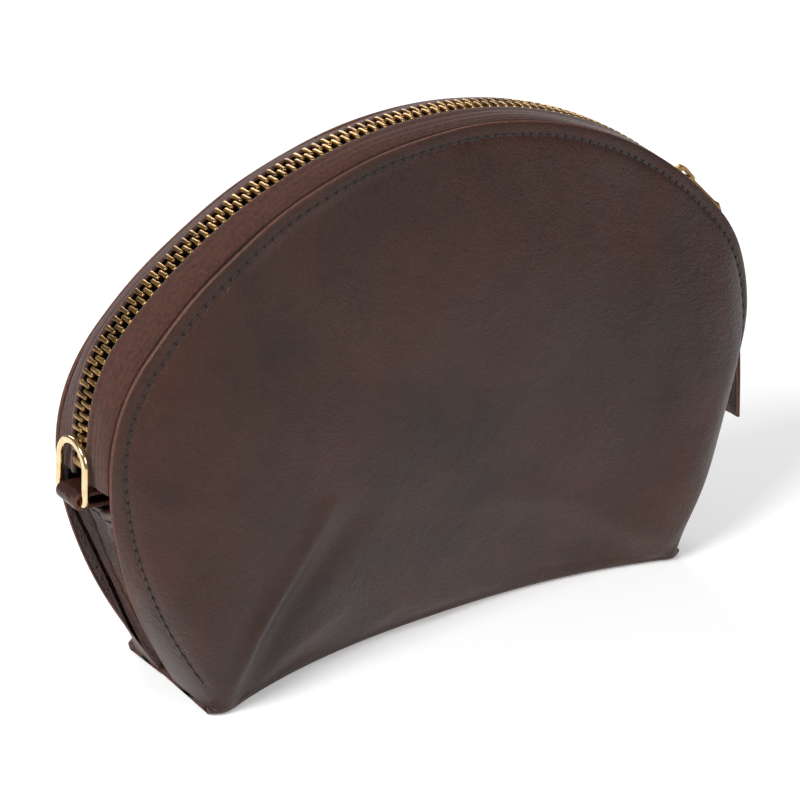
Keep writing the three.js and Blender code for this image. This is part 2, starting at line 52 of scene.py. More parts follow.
# The bag's outline, as the CAD has it: a crown arc, two shoulder arcs and two curved sides.
HALF_WIDTH = 115
HEIGHT = 156.8
CROWN_RADIUS = 137.5
CROWN_HALF_ANGLE = math.radians(48)
FOOT_X, FOOT_Z = 88.8, 2.4
SIDE_PULL = 33.5
TOP_HALF_DEPTH, WIDEST_HALF_DEPTH, FOOT_HALF_DEPTH = 11.9, 14.9, 4.9
TIP_X = 88.3
TIP_HALF_DEPTH, MIDDLE_HALF_DEPTH, TIP_POWER = 26.5, 12.5, 2.4
BASE_ROLL = 2.5
BULGE, SWELL_POWER = 11.5, 9
TIP_ROUND, TIP_START = 4, 0.93
TIP_LIFT = 0.9
ROLL_LOSS = 0.25
SEAM_OFFSET = 4
LEATHER = 1.5
LINING = 0.7
GAP = 0.3
CHAIN_RADIUS, CHAIN_CENTRE_X, CHAIN_CENTRE_RISE = 138.65, -3.18, 0.85
CHAIN_END_RISE = 0.5
SLIDER_ANGLE = math.radians(45.5)
CROWN_Z = HEIGHT - CROWN_RADIUS
SHOULDER_RADIUS = (HALF_WIDTH - CROWN_RADIUS * math.sin(CROWN_HALF_ANGLE)) / (
    1 - math.sin(CROWN_HALF_ANGLE)
)
SHOULDER_X = (CROWN_RADIUS - SHOULDER_RADIUS) * math.sin(CROWN_HALF_ANGLE)
WIDEST_Z = CROWN_Z + (CROWN_RADIUS - SHOULDER_RADIUS) * math.cos(CROWN_HALF_ANGLE)
CROWN_LENGTH = CROWN_RADIUS * CROWN_HALF_ANGLE
SHOULDER_END = CROWN_LENGTH + SHOULDER_RADIUS * (math.pi / 2 - CROWN_HALF_ANGLE)

# Stitches
STITCH_PITCH = 3.3
STITCH_LENGTH = 2.3
STITCH_RADIUS = 0.27
STITCH_INSET = 3.5
STITCH_STAND, STITCH_FLATNESS = 0.12, 0.8
HOLE_RADIUS = 0.66
# Gussets
GUSSET_TOP, GUSSET_BOTTOM = 0.17, 0.99
GUSSET_FOLD, GUSSET_SAG = 9, 3.5
GUSSET_THICKNESS = 1.6
GUSSET_FLANGE = 4.2
GUSSET_STITCH, GUSSET_SEAM = 0.045, 8.6
# Zip
TAPE_END = SHOULDER_END + 4.6
TAPE_THICKNESS = 0.6
TAPE_INNER_Y = 3.3
TAPE_FLANGE = 6
TAPE_FACE = 0.72  # the share of the tape that shows, before its flange turns down
TAPE_STRIPE, TAPE_RIB = 1.35, 0.8
TOOTH_PITCH = 3.04
TOOTH_HALF_LENGTH = 0.72
TOOTH_HEIGHT = 1.05
TOOTH_MIDDLE_Y = 1.5
ROW_START = -SHOULDER_END + 2.7
ROW_END = CROWN_RADIUS * SLIDER_ANGLE + 1
# D-ring and tab
RING_AXIS_X, RING_AXIS_Z = -118.6, 69.5
RING_LEAN = math.radians(2)
RING_HALF_WIDTH = 6.9
RING_LEG = 9.6
RING_WIRE_HALF, RING_THICK_HALF = 1.1, 0.95
TAB_WIDTH, TAB_REACH = 10, 12
TAB_LAYER = 1.3
# Pull strap
STRAP_WIDTH = 9.4
STRAP_LAYER = 0.95
STRAP_BEND = (121.5, 90)
STRAP_END = (126.2, 31.5)


# Outline and surfaces


def mix(a, b, t):
    return a + (b - a) * t


def smooth(t):
    c = np.clip(t, 0, 1)
    return c * c * (3 - 2 * c)


def side_point(q):
    a, b = (1 - q) ** 2, 2 * q * (1 - q)
    x = (a + b) * HALF_WIDTH + q * q * FOOT_X
    z = a * WIDEST_Z + b * (WIDEST_Z - SIDE_PULL) + q * q * FOOT_Z
    return x, z, mix(WIDEST_HALF_DEPTH, FOOT_HALF_DEPTH, q * q)


def side_length():
    x, z, _ = side_point(np.linspace(0, 1, 41))
    return float(np.hypot(np.diff(x), np.diff(z)).sum())


SIDE_LENGTH = side_length()
RIM_LENGTH = SHOULDER_END + SIDE_LENGTH


def rim(s):
    """The outline at lengths s from its top: x, z, the outward normal, and half of the depth."""
    s = np.asarray(s, float)
    side = np.where(s < 0, -1.0, 1.0)
    length = np.abs(s)
    crown = length <= CROWN_LENGTH
    turned = CROWN_HALF_ANGLE + (length - CROWN_LENGTH) / SHOULDER_RADIUS
    angle = np.where(crown, length / CROWN_RADIUS, turned)
    radius = np.where(crown, CROWN_RADIUS, SHOULDER_RADIUS)
    arc_x = np.where(crown, 0, SHOULDER_X) + radius * np.sin(angle)
    arc_z = np.where(crown, CROWN_Z, WIDEST_Z) + radius * np.cos(angle)
    rise = (arc_z - WIDEST_Z) / (HEIGHT - WIDEST_Z)
    q = np.clip((length - SHOULDER_END) / SIDE_LENGTH, 0, 1)
    x, z, depth = side_point(q)
    ahead_x, ahead_z, _ = side_point(q + 0.01)
    run = np.hypot(ahead_x - x, ahead_z - z)
    low = length > SHOULDER_END
    return (
        side * np.where(low, x, arc_x),
        np.where(low, z, arc_z),
        side * np.where(low, (z - ahead_z) / run, np.sin(angle)),
        np.where(low, (ahead_x - x) / run, np.cos(angle)),
        np.where(low, depth, mix(WIDEST_HALF_DEPTH, TOP_HALF_DEPTH, rise)),
    )


def chain_rise(s):
    """How far the chain, on a circle of its own, stands above the outline."""
    angle = np.clip(s, -CROWN_LENGTH, CROWN_LENGTH) / CROWN_RADIUS
    along = CHAIN_CENTRE_X * np.sin(angle) + CHAIN_CENTRE_RISE * np.cos(angle)
    across = CHAIN_CENTRE_X * np.cos(angle) - CHAIN_CENTRE_RISE * np.sin(angle)
    on_circle = along + np.sqrt(CHAIN_RADIUS**2 - across**2) - CROWN_RADIUS
    t = (np.abs(s) - CROWN_LENGTH) / (SHOULDER_END - CROWN_LENGTH)
    return mix(on_circle, CHAIN_END_RISE, smooth(t))


def on_chain(s, y, height):
    """Points of the zip at lengths s, across y, and a height above the chain's middle."""
    x, z, nx, nz, _ = rim(s)
    out = chain_rise(s) + height
    return np.stack(np.broadcast_arrays(x + nx * out, y, z + nz * out), -1)


def crease(x, z, path, width, height):
    """A long soft fold along a path of (x, z) points, fading towards both ends."""
    total = len(path) - 1
    best = np.zeros(np.broadcast(x, z).shape)
    for i in range(total):
        (ax, az), (bx, bz) = path[i], path[i + 1]
        dx, dz = bx - ax, bz - az
        t = np.clip(((x - ax) * dx + (z - az) * dz) / (dx * dx + dz * dz), 0, 1)
        far = np.hypot(x - ax - t * dx, z - az - t * dz)
        along = (i + t) / total
        fade = np.sin(np.pi * np.clip(0.15 + 0.7 * along, 0, 1))
        best = np.maximum(best, np.exp(-((far / width) ** 2)) * fade)
    return height * best


def waves(x, z, seed, wavelength, height, count=7):
    """A soft uneven surface: seeded sine waves in all directions."""
    rng = np.random.default_rng(seed)
    total = np.zeros(np.broadcast(x, z).shape)
    for _ in range(count):
        turn, phase = rng.uniform(0, 2 * np.pi, 2)
        k = 2 * np.pi / (wavelength * rng.uniform(0.7, 1.5))
        total += np.sin(k * (x * np.cos(turn) + z * np.sin(turn)) + phase)
    return height * total / math.sqrt(count)


# Folds as (path, width, height): they rise from the boxed corners and the base.
FRONT_FOLDS = [
    ([(-85, 3), (-80, 14), (-76, 23), (-63, 38), (-50, 56)], 3.6, 2.3),
    ([(-78, 5), (-68, 18), (-58, 30), (-40, 50)], 5.5, -1.9),
    ([(-72, 4), (-58, 12), (-43, 18)], 4, 0.9),
    ([(84, 3), (72, 13), (55, 24), (36, 34), (10, 42)], 5.5, 1.5),
    ([(78, 3), (60, 9), (40, 16)], 5, -0.9),
    ([(88, 30), (80, 48), (76, 70)], 6, 0.7),
    ([(-25, 3), (-16, 7), (-6, 5)], 3, -0.9),
    ([(-112, 78), (-98, 70), (-80, 66)], 5, 0.5),
    ([(40, 140), (46, 122), (44, 100)], 4, 0.35),
    ([(62, 128), (66, 110), (64, 92)], 4, -0.35),
]
BACK_FOLDS = [
    ([(85, 3), (78, 17), (68, 30), (52, 47)], 4, 2),
    ([(-84, 3), (-72, 14), (-52, 26), (-30, 33)], 5, 1.6),
    ([(76, 4), (62, 14), (45, 24)], 5, -1.3),
    ([(10, 3), (22, 8), (34, 5)], 3.5, -0.9),
]


def base_roll(u):
    """The radius at which a panel turns up from the base."""
    return BASE_ROLL * (1 - ROLL_LOSS * np.abs(u) ** 4)


def panel(side, u, v):
    """A panel's outer face: u across from -1 to 1, v up from the base's edge to the outline."""
    u, v = np.broadcast_arrays(np.asarray(u, float), np.asarray(v, float))
    edge_x, edge_z, nx, nz, edge_depth = rim(u * RIM_LENGTH)
    across = np.abs(u)
    swell = BULGE * np.sin(np.pi * np.clip(v, 0, 1)) ** 0.8 * (1 - across**SWELL_POWER)
    base_depth = mix(MIDDLE_HALF_DEPTH, TIP_HALF_DEPTH, across**TIP_POWER)
    rounding = np.clip((across - TIP_START) / (1 - TIP_START), 0, 1)
    base_depth = base_depth - TIP_ROUND * rounding**2
    depth = mix(base_depth, edge_depth, v) + swell
    x = mix(TIP_X * u, edge_x, v)
    z = mix(base_roll(u), edge_z, v)
    inside = np.maximum(0, (edge_x - x) * nx + (edge_z - z) * nz)
    calm = smooth(inside / 14) * smooth(v / 0.03) * (1 - across**6)
    seed = 3 if side < 0 else 11
    folds = FRONT_FOLDS if side < 0 else BACK_FOLDS
    relief = waves(x, z, seed, 75, 0.8) + waves(x, z, seed + 1, 26, 0.16)
    for path, width, height in folds:
        relief = relief + crease(x, z, path, width, height)
    pucker = np.cos(2 * np.pi * u * RIM_LENGTH / STITCH_PITCH)
    groove = np.exp(-(((inside - STITCH_INSET) / 1.1) ** 2))
    ends = 1 - smooth((across - 0.9) / 0.05)
    sewn = -0.5 * groove * (1 + 0.3 * pucker) * ends
    lift = 0.35 * np.exp(-((inside / 1.6) ** 2)) * ends
    ripple = waves(u * RIM_LENGTH, 0 * u, seed + 2, 38, 0.28) * np.exp(-((inside / 18) ** 2))
    depth = depth + relief * calm + sewn + lift + ripple * ends
    return np.stack([x, side * depth, z], -1)


def inset_v(u, inset):
    """The share v at which a panel's face is inset from its outline."""
    edge_x, edge_z, nx, nz, _ = rim(u * RIM_LENGTH)
    reach = (edge_x - TIP_X * u) * nx + (edge_z - base_roll(u)) * nz
    return 1 - inset / np.maximum(1, reach)


def gusset(side, down, across):
    """A gusset's outer face at one end; down from 0 at the widest point, across from -1 to 1."""
    down, across = np.broadcast_arrays(np.asarray(down, float), np.asarray(across, float))
    x, z, nx, nz, depth = rim(SHOULDER_END + down * SIDE_LENGTH)
    half = depth - LEATHER
    wide = np.abs(across)
    deepest = GUSSET_FOLD * mix(0.55, 1, np.sin(np.pi * np.clip(1.1 * down, 0, 1)))
    deepest = deepest * (1 - 0.55 * down) * mix(0.35, 1, smooth((down - 0.1) / 0.35))
    flange = np.minimum(GUSSET_FLANGE, deepest) * (1 - wide**14)
    fold = flange + np.maximum(0, deepest - GUSSET_FLANGE) * (1 - wide**1.5)
    y = half * across
    length = down * SIDE_LENGTH
    wrinkle = crease(y, length, [(-4, 12), (-2, 34), (-3, 60)], 1.5, 1.2)
    wrinkle = wrinkle + crease(y, length, [(5, 14), (7, 36), (4, 58)], 1.2, 0.9)
    wrinkle = wrinkle - crease(y, length, [(1, 16), (2.5, 40), (0, 66)], 1.6, 1.3)
    wrinkle = wrinkle + waves(y, length, 21 if side < 0 else 22, 9, 0.3)
    wrinkle = wrinkle * (1 - wide**8) * (1 - 0.6 * down)
    out = wrinkle - fold
    sag = GUSSET_SAG * (1 - across**2) * (1 - down)
    return np.stack([side * (x + nx * out), y, z + nz * out - sag], -1)


# Mesh making


def make(name, points, faces, materials, body, nodes=(), marks=None):
    """A piece of the bag from points in mm; marks gives each face its material."""
    mesh = bpy.data.meshes.new(name)
    mesh.from_pydata((np.asarray(points, float) * MM).tolist(), [], [list(f) for f in faces])
    for m in materials:
        mesh.materials.append(m)
    if marks is not None:
        mesh.polygons.foreach_set("material_index", np.asarray(marks, np.int32))
    bm = bmesh.new()
    bm.from_mesh(mesh)
    bmesh.ops.recalc_face_normals(bm, faces=bm.faces)
    bm.to_mesh(mesh)
    bm.free()
    mesh.polygons.foreach_set("use_smooth", [True] * len(mesh.polygons))
    piece = bpy.data.objects.new(name, mesh)
    bpy.context.scene.collection.objects.link(piece)
    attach(piece, body)
    if nodes:
        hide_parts(*nodes)
    return piece


def ring_faces(columns, rows):
    """Faces of a tube of rows points round and columns along, closed at both ends."""

    def at(c, r):
        return c * rows + r % rows

    faces = [
        (at(c, r), at(c + 1, r), at(c + 1, r + 1), at(c, r + 1))
        for c in range(columns - 1)
        for r in range(rows)
    ]
    ends = [
        (at(c, r), at(c, r + 1), at(c, rows - 2 - r), at(c, rows - 1 - r))
        for c in (0, columns - 1)
        for r in range(rows // 2 - 1)
    ]
    return faces + ends


def tube(sections):
    """Points and faces of a tube, from an array of columns by rows by 3."""
    columns, rows = sections.shape[:2]
    return sections.reshape(-1, 3), ring_faces(columns, rows)


def even(section):
    """A section with an even number of rows, which ring_faces needs to close its ends."""
    return np.delete(section, -2, 1) if section.shape[1] % 2 else section


def facing(along, up, side, axis):
    """Unit normals from two directions on a surface, turned outwards along an axis."""
    normal = np.cross(along, up)
    normal /= np.linalg.norm(normal, axis=1)[:, None]
    return normal * side * np.sign(normal[:, axis : axis + 1])


def several(shapes):
    """Joins (points, faces) pairs into one."""
    points, faces, count = [], [], 0
    for p, f in shapes:
        points.append(np.asarray(p))
        faces += [tuple(i + count for i in face) for face in f]
        count += len(p)
    return np.concatenate(points), faces


def capsule(start, end, radius, up, flat, around=8):
    """A stitch: a rounded rod between two points, flattened along up."""
    start, end, up = (np.asarray(p, float) for p in (start, end, up))
    along = (end - start) / np.linalg.norm(end - start)
    across = np.cross(up, along)
    across /= np.linalg.norm(across)
    turn = np.linspace(0, 2 * np.pi, around, endpoint=False)
    stations = [(-0.9, 0.35), (-0.4, 0.85), (0, 1), (1, 1), (1.4, 0.85), (1.9, 0.35)]
    rings = []
    for place, share in stations:
        past = min(max(place, 0), 1)
        extra = (place - past) * radius
        middle = start + (end - start) * past + along * extra
        sink = 0.45 * radius * (1 - share)
        circle = np.outer(np.cos(turn), across) + flat * np.outer(np.sin(turn), up)
        rings.append(middle - up * sink + radius * share * circle)
    return tube(np.array(rings))


def stitch_row(name, place, start, end, nodes, finish):
    """Single stitches and the needle holes between them, which are painted near black as shade.
    place gives points and normals.
    """
    count = max(2, round((end - start) / STITCH_PITCH))
    knots = np.linspace(start, end, count + 1)
    margin = (1 - STITCH_LENGTH / STITCH_PITCH) / 2 * (knots[1] - knots[0])
    from_points, from_normals = place(knots[:-1] + margin)
    to_points, to_normals = place(knots[1:] - margin)
    shapes, marks = [], []
    for a, b, n, m in zip(from_points, to_points, from_normals, to_normals):
        up = (n + m) / np.linalg.norm(n + m)
        stand = STITCH_STAND * up
        rod = capsule(a + stand, b + stand, STITCH_RADIUS, up, STITCH_FLATNESS)
        shapes.append(rod)
        marks += [0] * len(rod[1])
        for tip, normal in ((a, n), (b, m)):
            # each needle hole is a dimple painted near black as shade
            hole = needle_hole_shade(tip, normal, b - a)
            shapes.append(hole)
            marks += [1] * len(hole[1])
    points, faces = several(shapes)
    return make(name, points, faces, [finish, NEEDLE_HOLE_SHADE], "bag", nodes, marks)


def needle_hole_shade(middle, normal, along, radius=HOLE_RADIUS, rows=8):
    """A small dimple where the thread goes in, painted near black as the shade inside the hole.
    """
    along = along / np.linalg.norm(along)
    across = np.cross(normal, along)
    turn = np.linspace(0, 2 * np.pi, rows, endpoint=False)
    circle = np.outer(np.cos(turn), along) + 0.8 * np.outer(np.sin(turn), across)
    low = middle - 0.3 * normal + 0.3 * radius * circle
    high = middle + 0.09 * normal + radius * circle
    return tube(np.array([low, high]))


# Materials


def linear(red, green, blue):
    """A colour given as sRGB 0 to 255."""
    channels = np.array([red, green, blue]) / 255
    values = np.where(channels < 0.04045, channels / 12.92, ((channels + 0.055) / 1.055) ** 2.4)
    return (*values.tolist(), 1)


class Finish:
    """A node material on the object's own coordinates."""

    def __init__(self, name, **settings):
        self.material = bpy.data.materials.new(name)
        self.material.use_nodes = True
        self.tree = self.material.node_tree
        self.shader = self.tree.nodes["Principled BSDF"]
        self.place = self.tree.nodes.new("ShaderNodeTexCoord").outputs["Object"]
        for key, value in settings.items():
            self.shader.inputs[key.replace("_", " ")].default_value = value

    def node(self, kind, links, **values):
        made = self.tree.nodes.new(kind)
        for key, value in values.items():
            setattr(made, key, value)
        for key, source in links.items():
            if isinstance(source, bpy.types.NodeSocket):
                self.tree.links.new(source, made.inputs[key])
            else:
                made.inputs[key].default_value = source
        return made

    def scaled(self, x=1, y=1, z=1):
        links = {"Vector": self.place, "Scale": (x, y, z)}
        return self.node("ShaderNodeMapping", links).outputs["Vector"]

    def noise(self, scale, detail=4, roughness=0.5, distortion=0.0, place=None):
        links = {
            "Vector": place or self.place,
            "Scale": scale,
            "Detail": detail,
            "Roughness": roughness,
            "Distortion": distortion,
        }
        return self.node("ShaderNodeTexNoise", links).outputs["Fac"]

    def cells(self, scale, feature="F1"):
        links = {"Vector": self.place, "Scale": scale}
        return self.node("ShaderNodeTexVoronoi", links, feature=feature).outputs["Distance"]

    def ramp(self, factor, stops):
        made = self.node("ShaderNodeValToRGB", {"Fac": factor})
        elements = made.color_ramp.elements
        while len(elements) < len(stops):
            elements.new(0.5)
        for element, (position, color) in zip(elements, stops):
            element.position = position
            element.color = color
        return made.outputs["Color"]

    def blend(self, factor, first, second):
        links = {0: factor, 6: first, 7: second}
        return self.node("ShaderNodeMix", links, data_type="RGBA").outputs[2]

    def between(self, value, low, high, out_low=0.0, out_high=1.0):
        links = {
            "Value": value,
            "From Min": low,
            "From Max": high,
            "To Min": out_low,
            "To Max": out_high,
        }
        return self.node("ShaderNodeMapRange", links).outputs["Result"]

    def math(self, operation, first, second):
        return self.node("ShaderNodeMath", {0: first, 1: second}, operation=operation).outputs[0]

    def bump(self, height, strength, distance, normal=None):
        links = {"Height": height, "Strength": strength, "Distance": distance * MM}
        if normal:
            links["Normal"] = normal
        return self.node("ShaderNodeBump", links).outputs["Normal"]

    def set(self, **links):
        for key, source in links.items():
            self.tree.links.new(source, self.shader.inputs[key.replace("_", " ")])
        return self.material


def leather_finish(name, dark, warm, pale, roughness=0.44, creased=0.35):
    """Waxed pull-up leather: clouded colour, fine pores, creases and a soft gloss."""
    f = Finish(name, Coat_Weight=0.1, Coat_Roughness=0.3, Specular_IOR_Level=0.3)
    clouds = f.noise(19, 7, 0.6, 0.3)
    patches = f.noise(26, 8, 0.64, 0.4)
    color = f.ramp(clouds, [(0.3, dark), (0.5, mix_color(dark, warm, 0.5)), (0.72, warm)])
    color = f.blend(f.between(patches, 0.47, 0.75, 0, 0.6), color, pale)
    veins = f.noise(8, 6, 0.66, 0.8, f.scaled(1.6, 1, 0.4))
    color = f.blend(f.between(veins, 0.53, 0.72, 0, 0.3), color, dark)
    blots = f.noise(130, 6, 0.7)
    color = f.blend(f.between(blots, 0.48, 0.72, 0, 0.5), color, mix_color(dark, warm, 0.1))
    fine = f.noise(900, 4, 0.7)
    color = f.blend(f.between(fine, 0.45, 0.75, 0, 0.5), color, mix_color(dark, warm, 0.05))
    pores = f.cells(1450)
    pebbles = f.cells(430, "DISTANCE_TO_EDGE")
    zones = f.between(f.noise(17, 2, 0.5), 0.5, 0.66)
    lines = f.between(pebbles, 0.0, 0.12, 1, 0)
    worn = f.math("MULTIPLY", lines, f.between(zones, 0, 1, 0.1, creased * 2))
    normal = f.bump(f.noise(75, 5, 0.6), 0.6, 1.1)
    normal = f.bump(worn, 0.6, -0.25, normal)
    normal = f.bump(f.noise(420, 4, 0.65), 0.75, 0.5, normal)
    normal = f.bump(pores, 0.6, 0.25, normal)
    normal = f.bump(f.noise(1900, 3, 0.6), 0.5, 0.15, normal)
    gloss = f.between(patches, 0.3, 0.7, roughness - 0.08, roughness + 0.08)
    return f.set(Base_Color=color, Roughness=gloss, Normal=normal)


def mix_color(a, b, t):
    return tuple(x + (y - x) * t for x, y in zip(a, b))


def raw_edge_finish(name, dark, light):
    """The cut edge of the leather: fibrous, a little paler than the face."""
    f = Finish(name)
    fibres = f.noise(900, 4, 0.7)
    color = f.ramp(fibres, [(0.3, dark), (0.7, light)])
    rough = f.between(fibres, 0.2, 0.8, 0.5, 0.75)
    return f.set(Base_Color=color, Roughness=rough, Normal=f.bump(fibres, 0.6, 0.12))


def cloth_finish(name, dark, light, pitch, roughness=0.85):
    """Woven cloth: fine crossed threads."""
    f = Finish(name, Sheen_Weight=0.25, Sheen_Roughness=0.5)
    threads = f.noise(0.5 / (pitch * MM), 2, 0.5)
    fibres = f.noise(1300, 3, 0.6)
    shade = f.between(threads, 0.3, 0.7, 0.4, 1)
    weave = f.math("MULTIPLY", shade, f.between(fibres, 0.2, 0.8, 0.5, 1))
    color = f.ramp(weave, [(0.1, dark), (0.8, light)])
    rough = f.between(fibres, 0, 1, roughness - 0.1, 1)
    return f.set(Base_Color=color, Roughness=rough, Normal=f.bump(weave, 0.5, 0.15))


def thread_finish(name, dark, light):
    """Waxed thread with the twist of its plies."""
    f = Finish(name, Sheen_Weight=0.2)
    twist = f.node("ShaderNodeTexWave", {"Vector": f.place, "Scale": 900.0, "Distortion": 1.5})
    twist.wave_type, twist.bands_direction = "BANDS", "DIAGONAL"
    height = twist.outputs["Fac"]
    color = f.ramp(height, [(0.2, dark), (0.8, light)])
    rough = f.between(height, 0, 1, 0.55, 0.75)
    return f.set(Base_Color=color, Roughness=rough, Normal=f.bump(height, 0.4, 0.06))


def metal_finish(name, bright, dull, low, high, grain=700):
    """Plated metal: tarnish in patches, and fine wear in the gloss."""
    f = Finish(name, Metallic=1.0)
    patches = f.noise(160, 5, 0.65, 0.5)
    specks = f.noise(grain, 4, 0.6)
    color = f.ramp(patches, [(0.35, bright), (0.7, dull)])
    color = f.blend(f.between(specks, 0.55, 0.75, 0, 0.5), color, dull)
    rough = f.between(specks, 0.25, 0.75, low, high)
    return f.set(Base_Color=color, Roughness=rough, Normal=f.bump(specks, 0.12, 0.03))


def painted_hole_shade(name, color):
    """A hole painted near black as shade, with a trace of dust."""
    f = Finish(name)
    dust = f.noise(800, 3)
    shade = f.ramp(dust, [(0.3, color), (0.8, mix_color(color, (0.03, 0.02, 0.015, 1), 0.5))])
    return f.set(Base_Color=shade, Roughness=f.between(dust, 0, 1, 0.8, 1))


BODY = leather_finish("body_leather", linear(35, 22, 17), linear(72, 38, 27), linear(62, 44, 33))
GUSSET = leather_finish(
    "gusset_leather", linear(36, 22, 18), linear(78, 40, 30), linear(74, 52, 42), 0.32, 0.7
)
TRIM = leather_finish(
    "trim_leather", linear(48, 27, 22), linear(82, 42, 32), linear(76, 50, 38), 0.38, 0.4
)
RAW_EDGE = raw_edge_finish("raw_edge", linear(58, 32, 24), linear(112, 66, 48))
SUEDE = raw_edge_finish("leather_inside", linear(62, 44, 36), linear(96, 72, 58))
THREAD = thread_finish("waxed_thread", linear(14, 10, 9), linear(40, 30, 26))
# Painted shade: the needle holes are coloured near black for the shade inside them.
NEEDLE_HOLE_SHADE = painted_hole_shade("needle_hole_shade", (0.004, 0.003, 0.003, 1))
TAPE = cloth_finish("zip_tape_cloth", linear(38, 18, 13), linear(84, 44, 32), 0.5)
TWILL = cloth_finish("lining_twill", linear(30, 26, 24), linear(66, 58, 52), 0.7)
BRASS = metal_finish("antique_brass", linear(190, 152, 98), linear(96, 70, 42), 0.26, 0.42)
GOLD = metal_finish("polished_gold", linear(236, 214, 172), linear(212, 184, 132), 0.08, 0.2, 500)


# Panels and linings

COLUMNS = 420
FACE_ROWS = 112
EDGE_SOFT = 0.35
LINING_REACH, LINING_TOP = 0.84, 0.955  # as shares of the panel


def panel_section(side, u, reach, offset=0.0, thickness=LEATHER, top=1.0, rows=FACE_ROWS):
    """One panel as a tube: out along the base, up the face, over the edge and back inside."""
    u = u[:, None]
    shares = top * (1 - np.linspace(1, 0, rows) ** 1.5)
    face = panel(side, u, shares[None, :])
    face[..., 1] -= side * offset
    foot = face[:, :1]
    roll = base_roll(u)
    bed = side * foot[..., 1] - roll
    turns = np.radians([18, 36, 54, 72])[None, :]
    arc_y = bed + roll * np.sin(turns)
    arc_z = offset + roll * (1 - np.cos(turns))
    depths = mix(reach, bed, np.linspace(0, 1, 9)[None, :])
    ends = smooth((np.abs(u) - 0.86) / 0.14)
    lift = TIP_LIFT * ends * (1 - depths / TIP_HALF_DEPTH)
    flat_z = offset + np.maximum(0, lift)
    flat = np.stack([foot[..., 0] + 0 * depths, side * depths, flat_z], -1)
    arc = np.stack([foot[..., 0] + 0 * arc_y, side * arc_y, arc_z], -1)
    outer = np.concatenate([flat, arc, face], 1)
    steps = np.r_[0 : outer.shape[1] : 4, outer.shape[1] - 1]
    back = outer[:, np.unique(steps)][:, ::-1].copy()
    inwards = -np.sign(u) * thickness * ends
    on_base = np.clip((bed + roll - side * back[..., 1]) / np.maximum(roll, 0.5), 0, 1)
    low = back[..., 2] < offset + roll + lift.max() + 0.01
    up = np.where(low, smooth(on_base), 0)
    back[..., 0] += inwards
    back[..., 1] -= side * thickness * (1 - up)
    back[..., 2] += thickness * up
    back[:, 0, 2] -= EDGE_SOFT * 0.5
    lip = 0.5 * (outer[:, -1] + back[:, 0])
    _, _, nx, nz, _ = rim(u[:, 0] * RIM_LENGTH)
    lip[:, 0] += nx * EDGE_SOFT
    lip[:, 2] += nz * EDGE_SOFT
    near = outer[:, -1] + 0.35 * (lip - outer[:, -1]) + 0.15 * np.stack([nx, 0 * nx, nz], -1)
    section = even(np.concatenate([outer, near[:, None], lip[:, None], back], 1))
    return section, outer.shape[1], outer.shape[1] + 3


def make_panel(name, side, reach, nodes):
    u = np.linspace(-1, 1, COLUMNS)
    section, face_end, edge_end = panel_section(side, u, reach)
    points, faces = tube(section)
    rows = section.shape[1]
    marks = np.zeros(len(faces), int)
    sides = (COLUMNS - 1) * rows
    row = np.arange(sides) % rows
    marks[:sides] = np.where(row < face_end - 1, 0, np.where(row < edge_end, 1, 2))
    marks[sides:] = 1
    make(name, points, faces, [BODY, RAW_EDGE, SUEDE], "bag", nodes, marks)


make_panel("front_leather", -1, -SEAM_OFFSET, ["front_panel"])
make_panel("back_leather", 1, SEAM_OFFSET + GAP, ["back_panel"])


def make_lining(name, side, node):
    u = np.linspace(-LINING_REACH, LINING_REACH, 150)
    section, _, _ = panel_section(side, u, GAP, LEATHER + GAP, LINING, LINING_TOP, 60)
    points, faces = tube(section)
    make(name, points, faces, [TWILL], "bag", [node])


make_lining("front_lining_cloth", -1, "front_lining")
make_lining("back_lining_cloth", 1, "back_lining")


def panel_place(side):
    """Points and normals along a panel's stitch row, by length from the top."""

    def place(s):
        u = s / RIM_LENGTH
        v = inset_v(u, STITCH_INSET)
        middle = panel(side, u, v)
        along = panel(side, u + 0.002, inset_v(u + 0.002, STITCH_INSET)) - middle
        up = panel(side, u, v + 0.004) - middle
        return middle, facing(along, up, side, 1)

    return place


SEAM_END = 0.925 * RIM_LENGTH
for side, label in ((-1, "front"), (1, "back")):
    node = label + "_seam_thread"
    place = panel_place(side)
    stitch_row(label + "_stitches", place, -SEAM_END, SEAM_END, [node], THREAD)

# Gussets


def make_gusset(name, side, node):
    down = np.linspace(GUSSET_BOTTOM, GUSSET_TOP, 90)[None, :]
    across = np.linspace(-1, 1, 61)[:, None]
    outer = gusset(side, down, across)
    turned = outer[:, -1:]
    bend = np.array([0.35, 0.75, 1.0, 0.8])[None, :, None]
    depth = np.array([0.15, 0.6, 1.2, 1.9])[None, :, None]
    top = turned + bend * np.array([0, 0, 0.9]) - depth * np.array([side, 0, 0])
    inner = outer[:, ::-6].copy()
    inner[..., 0] -= side * (GUSSET_THICKNESS + 0.7)
    points, faces = tube(even(np.concatenate([outer, top, inner], 1)))
    make(name, points, faces, [GUSSET], "bag", [node])


def gusset_place(side):
    """Points and normals along a gusset's stitch row, by distance from its middle."""

    def place(s):
        across = s / 10
        down = GUSSET_TOP + GUSSET_STITCH
        middle = gusset(side, down, across)
        along = gusset(side, down, across + 0.02) - middle
        up = gusset(side, down - 0.01, across) - middle
        return middle, facing(along, up, side, 0)

    return place


for side, label in ((-1, "left"), (1, "right")):
    make_gusset(label + "_gusset_leather", side, label + "_gusset")
    node = label + "_gusset_thread"
    place = gusset_place(side)
    stitch_row(label + "_gusset_stitches", place, -GUSSET_SEAM, GUSSET_SEAM, [node], THREAD)

# Zip tape, woven as a herringbone


